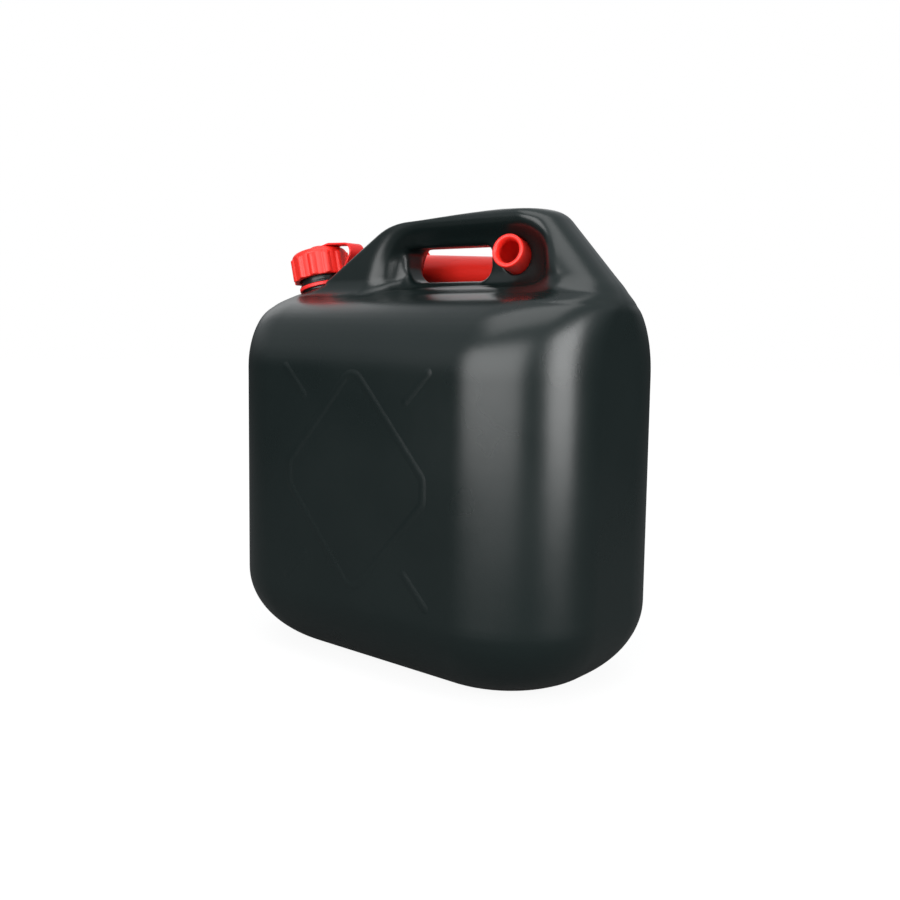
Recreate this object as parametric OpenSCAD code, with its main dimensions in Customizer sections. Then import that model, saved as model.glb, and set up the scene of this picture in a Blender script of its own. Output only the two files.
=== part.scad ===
// Ten-litre fuel can, blown in one piece with its carrying handle.
// A ribbed screw cap closes a tilted neck, a soft tether keeps the cap on the can,
// and an elbow spout with its screw collar is stored in the side of the handle.
// Units are millimetres. X runs from the cap end to the rear, Y across the can, Z up.
// The origin is at the middle of the can's foot.

/* [Body] */
// Length of the can from the cap end to the rear
body_l = 300; // [285:1:330]
// Width of the can across its two flat faces
body_w = 173; // [165:1:185]
// Height of the shoulder where the handle starts
shoulder_z = 257.5; // [245:0.5:265]
// Wall of the blown shell
wall = 2.4; // [1.6:0.1:3.4]
// Rounding of the upright corners, seen from above
corner_r = 66; // [56:1:70]
// Rounding of the long bottom edges
bottom_r = 53; // [40:1:56]
// Rounding of the bottom edge under the cap
bottom_front_r = 55; // [40:1:62]
// Rounding of the shoulder's long edges
shoulder_r = 50; // [40:1:54]
// Drop of the shoulder from the handle's foot to the side
shoulder_drop = 15.5; // [10:0.5:20]
// Lean of the walls over the can's height
draft = 1; // [0:0.1:2]

/* [Handle] */
// Height of the handle's top above the shoulder
handle_h = 54.3; // [48:0.1:62]
// Width of the handle at its foot
handle_w = 53.4; // [50:0.2:58]
// Width lost on each side between the handle's foot and its top
handle_taper = 4; // [2:0.5:6]
// Setback of the handle's rear end at its top from the can's rear wall
handle_rear_in = 51; // [44:1:54]
// Run of the handle's front slope from the neck to the handle's front end
slope_run = 87.6; // [84:0.2:92]
// Drop of the corners under the handle's slopes from the shoulder
corner_down = 1.5; // [0:0.5:8]
// Rounding of the corner where the rear wall starts to slope in
rear_r = 28; // [20:1:34]
// Rounding of the handle's rear end at its top
handle_rear_r = 22; // [12:1:24]
// Rounding of the handle's front end at its top
handle_bend_r = 60; // [50:1:80]
// Rounding of the upright edges at the handle's front slope
handle_front_r = 7; // [5:0.5:12]
// Rounding along the handle's top edges
handle_top_r = 10; // [6:0.5:11]
// Fillet between the shoulder and the handle
fillet_r = 14; // [8:1:18]

/* [Grip] */
// Height of the hollow's lower edge above the shoulder
hollow_up = 5; // [3:0.5:8]
// Band left on the handle's face above the hollow
hollow_band = 5.3; // [4:0.1:9]
// Reach of the hollow past the handle's front end
hollow_front_over = 10.5; // [8:0.5:14]
// Reach of the hollow past the handle's rear end
hollow_rear_over = 10.5; // [7:0.5:13]
// Thickness of the web left between the two hollows
web_t = 17; // [14:0.5:20]
// Setback of the finger opening from the handle's front end
grip_front_in = 6.5; // [4:0.5:10]
// Setback of the finger opening from the handle's rear end
grip_rear_in = 47.5; // [46:0.5:53]
// Height of the finger opening's sill above the shoulder
grip_up = 9; // [7.5:0.5:11.5]
// Depth of the bar that the hand holds, above the finger opening
grip_bar = 22; // [18:0.1:24]
// Rounding of the finger opening's upper front corner
grip_top_front_r = 4; // [3:0.5:7]
// Rounding of the finger opening's lower front corner
grip_low_front_r = 12; // [8:0.5:12]
// Rounding of the finger opening's lower rear corner
grip_low_rear_r = 10; // [7:0.5:11]
// Rounding of the finger opening's upper rear corner
grip_top_rear_r = 5; // [3:0.5:7]

/* [Neck] */
// Setback of the neck's foot from the can's front wall
neck_in = 32.4; // [30:0.2:36]
// Height of the neck's foot above the shoulder
neck_up = 1.1; // [0.5:0.1:4]
// Lean of the neck towards the front
neck_tilt = 14; // [8:1:18]
// Outside diameter of the neck below its thread crests
neck_d = 33; // [30:0.5:35]
// Bore of the neck
neck_bore = 27.6; // [24:0.2:28]
// Height of the neck's rim above its foot
neck_h = 30.3; // [28:0.1:34]
// Height of the thread ridges
thread_h = 1.3; // [0.8:0.1:1.6]
// Rise of the thread in one turn
thread_pitch = 4; // [3:0.5:5]
// Width of the flange that seats the tether's ring
flange_w = 1.6; // [1:0.1:2]

/* [Cap] */
// Outside diameter of the cap between its ribs
cap_d = 43; // [42:0.5:47]
// Height of the cap
cap_h = 21.5; // [19:0.5:24]
// Number of grip ribs round the cap
rib_count = 12; // [8:1:16]
// How far each rib stands out
rib_out = 1.7; // [0.8:0.1:2.4]
// Thickness of the cap's top
cap_top_t = 2.4; // [1.8:0.1:3]
// Gap between the thread crests and the cap's bore
cap_clear = 0.6; // [0.4:0.1:1]
// Rounding of the cap's top edge
cap_edge_r = 4; // [2:0.5:5]
// Diameter of the stud that holds the tether's top ring
stud_d = 9; // [7:0.5:11]
// Diameter of the stud's head
stud_head_d = 14; // [12:0.5:16]
// Height of the stud's head
stud_head_h = 2.2; // [1.5:0.1:3]
// Thickness of the cap's sealing ring
gasket_t = 2; // [1.5:0.1:3]

/* [Tether] */
// Thickness of the soft tether
tether_t = 1.5; // [1:0.1:2]
// Width of the tether's strap
strap_w = 15; // [10:0.5:18]
// Width of the ring's band round the neck
ring_band = 2.3; // [1.8:0.1:3]
// Height of the neck ring above the neck's foot
ring_up = 5.6; // [4.5:0.1:6.5]
// Height of the neck ring
ring_h = 2.8; // [2:0.1:3.5]
// Reach of the strap's bend behind the neck
strap_reach = 44; // [42:1:48]

/* [Spout] */
// Setback of the spout's elbow from the handle's rear end
elbow_in = 31; // [29:0.5:37]
// Place of the spout's elbow out from the can's middle
elbow_y = 40; // [39:0.5:44]
// Height of the spout's elbow above the shoulder
elbow_up = 14.8; // [14.5:0.1:18]
// Outside diameter of the spout's long leg
spout_d = 23.5; // [22:0.5:25]
// Outside diameter of the spout's mouth leg
mouth_d = 22; // [19:0.5:23]
// Wall of the spout
spout_wall = 2; // [1.5:0.1:3]
// Radius of the elbow's centre line
elbow_r = 20; // [18:0.5:24]
// Turn of the elbow
elbow_turn = 76; // [70:1:86]
// Length of the long leg from the elbow's corner
leg_l = 144; // [136:1:150]
// Length of the mouth leg beyond the bend
mouth_l = 48.5; // [44:0.5:49]
// Rise of the long leg towards the cap end
leg_rise = 3.5; // [2:0.5:5]
// Swing of the long leg away from the handle
leg_swing = 4.5; // [4:0.5:7]
// Tip of the mouth above level
mouth_tip = 12; // [8:1:14]
// Gap between the mouth leg and its socket in the web
socket_clear = 0.5; // [0.3:0.1:1]
// Length of the spout's screw collar
collar_l = 18; // [15:0.5:21]
// Gap between the collar's lip and the spout
collar_clear = 0.4; // [0.3:0.1:0.8]

/* [Relief] */
// Height of the raised lines on the flat faces
bead_out = 1.1; // [0.6:0.1:1.6]
// Radius of the raised lines' round section
bead_r = 2.2; // [1.5:0.1:3]
// Height of the diamond's lower corner above the ground
diamond_foot = 59; // [54:1:70]
// Drop of the diamond's upper corner from the shoulder
diamond_down = 48.5; // [44:0.5:60]
// Half of the diamond's span along the can
diamond_half_l = 62; // [52:1:66]
// Length of the upright line at each side corner of the diamond
diamond_flat = 16; // [10:1:24]

/* [Hidden] */
$fn = 48;
arc_n = 8;
plan_n = 8;
eps = 0.01;
half_l = body_l/2;
half_w = body_w/2;
handle_half = handle_w/2;
top_half = handle_half - handle_taper;
handle_z = shoulder_z + handle_h;
corner_z = shoulder_z - corner_down;
neck_x = -half_l + neck_in;
neck_z = shoulder_z + neck_up;
handle_front_x = neck_x + slope_run;
handle_rear_x = half_l - handle_rear_in;
front_r = 20;
plateau_end_x = neck_x + 21;
plateau_end_z = neck_z + 7.4;
slope_r = 40;
web_half = web_t/2;
hollow_low_z = shoulder_z + hollow_up;
hollow_top_z = handle_z - hollow_band;
hollow_front_x = handle_front_x - hollow_front_over;
hollow_rear_x = handle_rear_x + hollow_rear_over;
grip_front_x = handle_front_x + grip_front_in;
grip_rear_x = handle_rear_x - grip_rear_in;
grip_low_z = shoulder_z + grip_up;
grip_top_z = handle_z - grip_bar;
diamond_top = shoulder_z - diamond_down;
diamond_z = (diamond_top + diamond_foot)/2;
diamond_half_h = (diamond_top - diamond_foot)/2;
hollow_r = min(44, hollow_top_z - hollow_low_z);
hollow_web_r = 14;
hollow_rear_r = 19;
hollow_low_r = 5;
funnel_in = 12;
tighten_from = 3;
tighten_to = 11;
cap_bore = neck_d + 2*thread_h + 2*cap_clear;
cap_top = neck_h + 0.2 + gasket_t + 0.2 + cap_top_t;
cap_low = cap_top - cap_h;
flange_up = ring_up + ring_h + 0.3;
ring_in = neck_d/2 + 0.4;
spout_flange_d = cap_bore - 2*collar_clear;
spout_flange_t = 2.4;
collar_lip_t = 2.4;
collar_d = cap_d;
base_x = -leg_l;
elbow_x = handle_rear_x - elbow_in;
elbow_z = shoulder_z + elbow_up;

function unit(v) = v/norm(v);
function turn2(v, a) = [v[0]*cos(a) - v[1]*sin(a), v[0]*sin(a) + v[1]*cos(a)];
function side_of(u, v) = u[0]*v[1] - u[1]*v[0] > 0 ? 1 : -1;

// One rounded corner of a path, as arc_n steps of an arc that touches both lines
function corner(a, b, c, r) =
    let (u = unit(a - b))
    let (v = unit(c - b))
    let (half = acos(max(-1, min(1, u*v)))/2)
    let (mid = b + unit(u + v)*r/sin(half))
    let (from = b + u*r/tan(half) - mid)
    let (total = (180 - 2*half)*side_of(v, u))
    [for (i = [0 : arc_n]) mid + turn2(from, total*i/arc_n)];

// A path whose inner points are rounded by the radii in r
function rounded(p, r) = [
    p[0],
    for (i = [1 : len(p) - 2]) each corner(p[i - 1], p[i], p[i + 1], r[i - 1]),
    p[len(p) - 1]
];

function by_height(path) = [for (q = path) [q[1], q[0]]];

// The can's half outline from the side wall up over the shoulder to the handle's top
side_path = by_height(rounded([
    [half_w - bottom_r, 0],
    [half_w, 0],
    [half_w - draft, shoulder_z - shoulder_drop],
    [handle_half, shoulder_z + 2],
    [top_half, handle_z],
    [2, handle_z]],
    [bottom_r, shoulder_r, fillet_r, handle_top_r]));

// The outline under the cap, over the neck's plateau and up the handle's front slope
front_path = by_height(rounded([
    [-half_l + bottom_front_r, 0],
    [-half_l, 0],
    [-half_l + draft, corner_z],
    [plateau_end_x, plateau_end_z],
    [handle_front_x, handle_z - 4.5],
    [handle_rear_x - 40, handle_z]],
    [bottom_front_r, front_r, slope_r, handle_bend_r]));

// The outline of the rear wall and the handle's rear slope
rear_path = by_height(rounded([
    [half_l - bottom_r, 0],
    [half_l, 0],
    [half_l - draft, corner_z],
    [handle_rear_x, handle_z - 1],
    [handle_rear_x - 30, handle_z]],
    [bottom_r, rear_r, handle_rear_r]));

// Heights of the can's sections: close together where the outline turns
shoulder_a = shoulder_z - 56;
shoulder_b = shoulder_z + 5;
heights = concat(
    [for (i = [0 : 8]) bottom_front_r*(1 - cos(90*i/8))],
    [(bottom_front_r + shoulder_a)/2],
    [for (i = [0 : 15]) shoulder_a + (shoulder_b - shoulder_a)*sin(90*i/15)],
    [for (i = [1 : 5]) shoulder_b + (handle_z - handle_top_r - shoulder_b)*i/5],
    [for (i = [1 : 6]) handle_z - handle_top_r*(1 - sin(90*i/6))]);

// Every second of those heights, moved between the floor's and the top's inner faces
inner_heights = [for (i = [0 : 2 : len(heights) - 1])
    wall + heights[i]*(handle_z - 2*wall)/handle_z];

// The outline at a height, moved in by t and kept t below or above the outside
function inset_min(z, path, t) =
    min(lookup(z, path) - t, lookup(z + t, path), lookup(max(0, z - t), path));
function inset_max(z, path, t) =
    max(lookup(z, path) + t, lookup(z + t, path), lookup(max(0, z - t), path));

// One level section: a rounded rectangle, moved in by the wall thickness t.
// Above the shoulder its front corners tighten to the handle's own rounding.
function section(z, t) =
    let (hw = inset_min(z, side_path, t))
    let (xf = inset_max(z, front_path, t))
    let (xr = inset_min(z, rear_path, t))
    let (inset = max(0, half_w - t - hw))
    let (rr = max(1, min(corner_r - t - 0.4*inset, hw*0.95, (xr - xf)*0.49)))
    let (up = max(0, min(1, (z - shoulder_z - tighten_from)/(tighten_to - tighten_from))))
    let (rf = min(rr, rr + (max(1, handle_front_r - t) - rr)*up))
    [for (q = [0 : 3]) for (i = [0 : plan_n])
        let (a = 90*(q + i/plan_n))
        let (rc = q == 0 || q == 3 ? rr : rf)
        let (sx = q == 0 || q == 3 ? xr - rc : xf + rc)
        let (sy = q < 2 ? hw - rc : rc - hw)
        [sx + rc*cos(a), sy + rc*sin(a)]];

// A solid lofted through level sections
module loft(zs, t) {
    n = 4*(plan_n + 1);
    last = len(zs) - 1;
    points = [for (z = zs) for (q = section(z, t)) [q[0], q[1], z]];
    lower = [[for (j = [0 : n - 1]) j]];
    upper = [[for (j = [n - 1 : -1 : 0]) last*n + j]];
    left = [for (i = [0 : last - 1]) for (j = [0 : n - 1])
        [i*n + j, (i + 1)*n + j, i*n + (j + 1)%n]];
    right = [for (i = [0 : last - 1]) for (j = [0 : n - 1])
        [i*n + (j + 1)%n, (i + 1)*n + j, (i + 1)*n + (j + 1)%n]];
    polyhedron(points, concat(lower, upper, left, right));
}

module at_neck(up = 0) {
    translate([neck_x, 0, neck_z])
        rotate([0, -neck_tilt, 0])
            translate([0, 0, up])
                children();
}

module at_spout() {
    translate([elbow_x, elbow_y, elbow_z])
        rotate([0, leg_rise, -leg_swing])
            rotate([-mouth_tip, 0, 0])
                children();
}

// A thin slice across the can, used as a corner of a hull
module pin(x, z, y, r) {
    translate([x, y, z])
        rotate([90, 0, 0])
            cylinder(r = r, h = eps, center = true, $fn = 40);
}

// The outline of the hollow, shrunk by s from its outline on the handle's face
module hollow_rim(y, s, r, g) {
    low = hollow_low_z + s*0.33;
    top = hollow_top_z - s;
    front = hollow_front_x + s;
    rear = hollow_rear_x - s;
    pin(front + r, top - r, y, r + g);
    pin(rear - hollow_rear_r, top - hollow_rear_r, y, hollow_rear_r + g);
    pin(rear - hollow_low_r, low + hollow_low_r, y, hollow_low_r + g);
    pin(front + hollow_low_r, low + hollow_low_r, y, hollow_low_r + g);
}

// The funnel pressed into one side of the handle, grown by g for the shell's inner face
module hollow(side, g) {
    flare = funnel_in*0.45;
    hull() {
        intersection() {
            hull() {
                hollow_rim(side*(handle_half + 6), -flare, hollow_r, g);
            }
            translate([0, side*(handle_half + 6), hollow_low_z + 60 - g])
                cube([2*body_l, 1, 120], center = true);
        }
        hollow_rim(side*(web_half - g), funnel_in, hollow_web_r, g);
    }
}

// One rounded corner of the finger opening: sx and sz point to the corner's side
module grip_corner(x, z, sx, sz, r, g) {
    translate([x - sx*r, 0, z - sz*r])
        rotate([90, 0, 0])
            cylinder(r = r + g, h = handle_w, center = true);
}

// The finger opening through the web, grown by g
module grip(g) {
    hull() {
        grip_corner(grip_front_x, grip_top_z, -1, 1, grip_top_front_r, g);
        grip_corner(grip_front_x, grip_low_z, -1, -1, grip_low_front_r, g);
        grip_corner(grip_rear_x, grip_low_z, 1, -1, grip_low_rear_r, g);
        grip_corner(grip_rear_x, grip_top_z, 1, 1, grip_top_rear_r, g);
    }
}

// The round socket in the web that stores the spout's mouth leg
module socket(g) {
    at_spout()
        translate([-elbow_r, -elbow_r, 0])
            rotate([0, 0, 90 - elbow_turn])
                translate([elbow_r, 1, 0])
                    rotate([90, 0, 0])
                        cylinder(r = mouth_d/2 + socket_clear + g, h = mouth_l + 4);
}

// One raised line on a flat face, between two points of the face
module bead(a, b) {
    hull() {
        for (p = [a, b]) {
            translate([p[0], half_w - draft*p[1]/shoulder_z + bead_out - bead_r, p[1]])
                sphere(r = bead_r, $fn = 10);
        }
    }
}

module diamond() {
    up = diamond_flat/2;
    z0 = diamond_z - up;
    z1 = diamond_z + up;
    bead([-diamond_half_l, z0], [-diamond_half_l, z1]);
    bead([diamond_half_l, z0], [diamond_half_l, z1]);
    bead([-diamond_half_l, z1], [0, diamond_z + diamond_half_h]);
    bead([diamond_half_l, z1], [0, diamond_z + diamond_half_h]);
    bead([-diamond_half_l, z0], [0, diamond_z - diamond_half_h]);
    bead([diamond_half_l, z0], [0, diamond_z - diamond_half_h]);
    for (sx = [-1, 1]) {
        for (sz = [-1, 1]) {
            bead([sx*44, diamond_z + sz*52], [sx*68, diamond_z + sz*76]);
        }
    }
}

// Thread ridges on the neck, as a chain of short slabs that climb one pitch a turn
module thread(turns) {
    steps = 16;
    for (i = [0 : turns*steps - 1]) {
        hull() {
            for (k = [i, i + 1]) {
                rotate([0, 0, 360*k/steps])
                    translate([neck_d/2 - 1, 0, thread_pitch*k/steps])
                        rotate([90, 0, 0])
                            cylinder(r1 = thread_pitch*0.3, r2 = 0.2, h = eps, $fn = 8);
                rotate([0, 0, 360*k/steps])
                    translate([neck_d/2 + thread_h - 0.3, 0, thread_pitch*k/steps])
                        cube([0.6, eps, thread_pitch*0.25], center = true);
            }
        }
    }
}

module can_body() {
    neck_root = -5;
    color("#1f2626")
        difference() {
            union() {
                difference() {
                    loft(heights, 0);
                    hollow(1, 0);
                    hollow(-1, 0);
                    grip(0);
                    socket(0);
                }
                diamond();
                mirror([0, 1, 0])
                    diamond();
                at_neck(neck_root)
                    cylinder(d = neck_d, h = neck_h - neck_root, $fn = 48);
                at_neck(flange_up)
                    cylinder(d = neck_d + 2*flange_w, h = 1.4, $fn = 48);
                at_neck(flange_up + 5)
                    thread(3);
            }
            difference() {
                loft(inner_heights, wall);
                hollow(1, wall);
                hollow(-1, wall);
                grip(wall);
                socket(wall);
            }
            at_neck(neck_root - 4)
                cylinder(d = neck_bore, h = neck_h + 12, $fn = 48);
        }
}

// The ribbed outside that the cap and the spout's collar share
module ribbed(d, h, edge) {
    rib_r = 3.2;
    rotate_extrude()
        polygon(concat(
            [[0, 0], [d/2, 0]],
            [for (i = [0 : 6]) [d/2 - edge + edge*cos(15*i), h - edge + edge*sin(15*i)]],
            [[0, h]]));
    for (i = [0 : rib_count - 1]) {
        rotate([0, 0, 360*i/rib_count])
            translate([d/2 + rib_out - rib_r, 0, 0])
                cylinder(r = rib_r, h = h - edge - 0.5);
    }
}

module screw_cap() {
    color("#d8302b")
        at_neck(cap_low) {
            difference() {
                ribbed(cap_d, cap_h, cap_edge_r);
                translate([0, 0, -1])
                    cylinder(d = cap_bore, h = cap_h - cap_top_t + 1);
            }
            translate([0, 0, cap_h - 1])
                cylinder(d = stud_d, h = tether_t + 2);
            translate([0, 0, cap_h + tether_t + 0.6])
                cylinder(d1 = stud_head_d, d2 = stud_head_d - 2, h = stud_head_h);
        }
}

module cap_gasket() {
    color("#2b2b2b")
        at_neck(neck_h + 0.2)
            difference() {
                cylinder(d = cap_bore - 0.8, h = gasket_t);
                translate([0, 0, -1])
                    cylinder(d = neck_bore - 4, h = gasket_t + 2);
            }
}

// The strap's line off the cap's top, to its bend behind the cap and back to the neck ring
strap_top = cap_top + 0.3 + tether_t/2;
strap_low = ring_up + ring_h/2;
strap_path = rounded([
    [stud_d/2 + 2, strap_top],
    [cap_d/2 - 2.5, strap_top],
    [strap_reach, strap_top - 7.5],
    [ring_in + ring_band + 7.8, strap_low + 2],
    [ring_in + ring_band - 0.5, strap_low]],
    [10, 6, 6]);

module tether() {
    color("#d8302b")
        at_neck() {
            translate([0, 0, ring_up])
                difference() {
                    cylinder(r = ring_in + ring_band, h = ring_h);
                    translate([0, 0, -1])
                        cylinder(r = ring_in, h = ring_h + 2);
                }
            translate([0, 0, cap_top + 0.3])
                difference() {
                    cylinder(d = stud_d + 9, h = tether_t);
                    translate([0, 0, -1])
                        cylinder(d = stud_d + 0.8, h = tether_t + 2);
                }
            for (i = [0 : len(strap_path) - 2]) {
                hull() {
                    for (q = [strap_path[i], strap_path[i + 1]]) {
                        translate([q[0], 0, q[1]])
                            rotate([90, 0, 0])
                                cylinder(d = tether_t, h = strap_w, center = true, $fn = 16);
                    }
                }
            }
        }
}

// The spout's outside or its bore: the long leg, the elbow and the mouth leg
module spout_run(d_leg, d_mouth, over) {
    translate([base_x - over, 0, 0])
        rotate([0, 90, 0])
            cylinder(d = d_leg, h = leg_l - elbow_r + over);
    translate([-elbow_r, -elbow_r, 0])
        rotate([0, 0, 90 - elbow_turn]) {
            rotate_extrude(angle = elbow_turn)
                translate([elbow_r, 0])
                    circle(d = d_mouth);
            translate([elbow_r, 0, 0])
                rotate([90, 0, 0])
                    cylinder(d = d_mouth, h = mouth_l + over);
        }
}

module spout_tube() {
    color("#d8302b")
        at_spout()
            difference() {
                union() {
                    spout_run(spout_d, mouth_d, 0);
                    translate([-elbow_r - 8, 0, 0])
                        rotate([0, 90, 0])
                            cylinder(d1 = spout_d, d2 = mouth_d, h = 8);
                    translate([base_x, 0, 0])
                        rotate([0, 90, 0])
                            cylinder(d = spout_flange_d, h = spout_flange_t);
                }
                spout_run(spout_d - 2*spout_wall - 2, mouth_d - 2*spout_wall, 1);
            }
}

module spout_collar() {
    lip_x = base_x + spout_flange_t + 0.4;
    color("#d8302b")
        at_spout()
            translate([lip_x + collar_lip_t, 0, 0])
                rotate([0, -90, 0])
                    difference() {
                        mirror([0, 0, 1])
                            translate([0, 0, -collar_l])
                                ribbed(collar_d, collar_l, 2);
                        translate([0, 0, collar_lip_t])
                            cylinder(d = cap_bore, h = collar_l);
                        translate([0, 0, -1])
                            cylinder(d = spout_d + 2*collar_clear, h = collar_l);
                    }
}

module spout_gasket() {
    color("#2b2b2b")
        at_spout()
            translate([base_x - 0.2 - gasket_t, 0, 0])
                rotate([0, 90, 0])
                    difference() {
                        cylinder(d = spout_flange_d, h = gasket_t);
                        translate([0, 0, -1])
                            cylinder(d = spout_d - 2*spout_wall - 2, h = gasket_t + 2);
                    }
}

can_body();
screw_cap();
cap_gasket();
tether();
spout_tube();
spout_collar();
spout_gasket();
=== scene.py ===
import math
import bpy
import numpy as np
from mathutils import Matrix, Vector


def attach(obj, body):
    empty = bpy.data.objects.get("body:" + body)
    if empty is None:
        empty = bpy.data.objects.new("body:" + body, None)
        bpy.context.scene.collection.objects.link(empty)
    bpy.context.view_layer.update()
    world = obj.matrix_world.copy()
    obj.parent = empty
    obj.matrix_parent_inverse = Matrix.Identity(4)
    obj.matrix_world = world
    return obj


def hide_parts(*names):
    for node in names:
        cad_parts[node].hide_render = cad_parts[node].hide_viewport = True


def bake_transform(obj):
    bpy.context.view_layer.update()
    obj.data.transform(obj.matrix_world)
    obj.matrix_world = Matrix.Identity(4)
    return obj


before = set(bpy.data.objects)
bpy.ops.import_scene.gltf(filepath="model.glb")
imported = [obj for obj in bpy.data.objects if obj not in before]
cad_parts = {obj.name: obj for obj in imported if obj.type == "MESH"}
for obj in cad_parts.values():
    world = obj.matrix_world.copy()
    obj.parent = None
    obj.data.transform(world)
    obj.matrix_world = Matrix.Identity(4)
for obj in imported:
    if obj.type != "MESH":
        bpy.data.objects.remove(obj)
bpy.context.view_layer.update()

# ---------------------------------------------------------------- sizes in mm, as in part.scad
# The can stands on z = 0, its neck towards -X and its handle's high end towards +X.
BODY_L, BODY_W, SHOULDER_Z, WALL = 300.0, 173.0, 257.5, 2.4
CORNER_R, BOTTOM_R, BOTTOM_FRONT_R = 66.0, 53.0, 55.0
SHOULDER_R, SHOULDER_DROP, DRAFT = 50.0, 15.5, 1.0
HANDLE_Z, HANDLE_W, HANDLE_TAPER = SHOULDER_Z + 54.3, 53.4, 4.0
HALF_L, HALF_W, HANDLE_HALF = BODY_L / 2, BODY_W / 2, HANDLE_W / 2
NECK_X, NECK_Z, NECK_TILT = -HALF_L + 32.4, SHOULDER_Z + 1.1, 14.0
HANDLE_REAR_X, HANDLE_FRONT_X = HALF_L - 51.0, NECK_X + 87.6
CORNER_Z, REAR_R, HANDLE_TOP_R, FILLET_R = SHOULDER_Z - 1.5, 28.0, 10.0, 14.0
HANDLE_REAR_R, HANDLE_BEND_R, HANDLE_FRONT_R = 22.0, 60.0, 7.0
TIGHTEN_FROM, TIGHTEN_TO = 3.0, 11.0

# the hollows in the handle's sides, the web between them and the finger opening through it
WEB_HALF = 8.5
HOLLOW_LOW, HOLLOW_TOP = SHOULDER_Z + 5.0, HANDLE_Z - 5.3
HOLLOW_FRONT, HOLLOW_REAR = HANDLE_FRONT_X - 10.5, HANDLE_REAR_X + 10.5
GRIP_LOW, GRIP_TOP = SHOULDER_Z + 9.0, HANDLE_Z - 22.0
GRIP_FRONT, GRIP_REAR = HANDLE_FRONT_X + 6.5, HANDLE_REAR_X - 47.5

# the neck with its flange and thread
NECK_D, NECK_BORE, NECK_H = 33.0, 27.6, 30.3
NECK_OUT, NECK_IN, NECK_EDGE = NECK_D / 2, NECK_BORE / 2, 0.6
STUB_UP, STUB_DOWN = 4.0, 5.0                  # how much of it grows out of the shell itself
THREAD_PITCH, THREAD_FROM, THREAD_TURNS, THREAD_OUT = 4.0, 13.5, 3.0, 1.25

# the raised diamond: its middle, half length, half height and half of its upright edges
DIAMOND_Z, DIAMOND_L, DIAMOND_H, DIAMOND_EDGE = 134.0, 62.0, 75.0, 8.0
RIDGE_W, RIDGE_H = 4.5, 0.38
SHORT_FROM, SHORT_TO = (44, 52), (68, 76)      # the short lines off its corners, from its middle

# the cap and the collar share their ribs and their bore
CAP_D, CAP_H, CROWN_T = 43.0, 21.5, 2.4
RIBS, RIB_OUT, RIB_R = 12, 1.7, 3.2
CAP_R, CAP_EDGE = CAP_D / 2, 4.0
THREAD_DEPTH, THREAD_GAP = 1.3, 0.6
CAP_BORE_R = (NECK_D + 2 * THREAD_DEPTH + 2 * THREAD_GAP) / 2
GASKET_T, GASKET_GAP = 2.0, 0.2
CAP_TOP = NECK_H + GASKET_GAP + GASKET_T + GASKET_GAP + CROWN_T
COLLAR_L, LIP_T, LIP_GAP = 18.0, 2.4, 0.4

# the spout, in its own frame: the leg along -X, the elbow at the origin, the mouth towards -Y
ELBOW_R, ELBOW_TURN, MOUTH_L, LEG_L = 20.0, 76.0, 48.5, 144.0
SPOUT_D, MOUTH_D = 23.5, 22.0
# where its elbow lies (from the handle's rear, off the middle, over the shoulder) and its turns
ELBOW_IN, ELBOW_OUT, ELBOW_UP = 31.0, 40.0, 14.8
TURN_Z, TURN_Y, TURN_X = -4.5, 3.5, -12
LEG_BORE_R, MOUTH_BORE_R = 8.75, 9.0
FLANGE_R, FLANGE_T, FLANGE_EDGE = CAP_BORE_R - 0.4, 2.4, 0.4
LEG_END = LEG_L - ELBOW_R
NARROW_FROM, NARROW_L = LEG_END - 10, 8.0

# the tether: a strap between a ring on the neck and a ring round the cap's stud
TETHER_T, RING_UP, RING_H, RING_T = 1.5, 5.6, 2.8, 2.3
RING_IN = NECK_OUT + 0.4
STUD_RING_IN, STUD_RING_OUT, STUD_RING_UP = 4.9, 9.0, 0.3
STRAP_HALF, STRAP_EDGE = 7.5, 0.45

# how softly the scene's shell blends one form into the next
CUTS_FROM = 252.0                   # nothing below this height is cut by the handle's forms
HOLLOW_FLOOR, HOLLOW_SLOPE = 262.0, 0.66
SOFT_HOLLOW, SOFT_WEB, SOFT_FLOOR, SOFT_GRIP, SOFT_SOCKET, SOFT_NECK = 11.0, 10.0, 6.0, 4.0, 1.2, 4.0
SOCKET_GAP, SOCKET_SPARE = 0.5, 4.0


# ---------------------------------------------------------------- small helpers
def rounded(points, radii, n=24):
    """A path whose inner points are rounded by arcs of the given radii."""
    p = [np.array(q, float) for q in points]
    out = [p[0]]
    for i, r in enumerate(radii):
        a, b, c = p[i], p[i + 1], p[i + 2]
        u = (a - b) / np.linalg.norm(a - b)
        v = (c - b) / np.linalg.norm(c - b)
        half = math.acos(max(-1.0, min(1.0, float(u @ v)))) / 2
        m = b + (u + v) / np.linalg.norm(u + v) * r / math.sin(half)
        s = b + u * r / math.tan(half) - m
        e = b + v * r / math.tan(half) - m
        turn = math.atan2(s[0] * e[1] - s[1] * e[0], float(s @ e))
        for k in range(n + 1):
            t = turn * k / n
            out.append(m + np.array([s[0] * math.cos(t) - s[1] * math.sin(t),
                                     s[0] * math.sin(t) + s[1] * math.cos(t)]))
    out.append(p[-1])
    return np.array(out)


def arc(cx, cy, r, a0, a1, n=6):
    """Points of an arc from a0 to a1 degrees."""
    turns = [math.radians(a0 + (a1 - a0) * i / n) for i in range(n + 1)]
    return [(cx + r * math.cos(t), cy + r * math.sin(t)) for t in turns]


def smoothstep(t):
    return t * t * (3 - 2 * t)


def smax(a, b, k):
    """The larger of two distances, with the crease between them rounded over k."""
    h = np.maximum(k - np.abs(a - b), 0) / k
    return np.maximum(a, b) + h * h * k / 4


def smin(a, b, k):
    return -smax(-a, -b, k)


def rot_x(a):
    c, s = math.cos(math.radians(a)), math.sin(math.radians(a))
    return np.array([[1, 0, 0], [0, c, -s], [0, s, c]])


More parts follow.
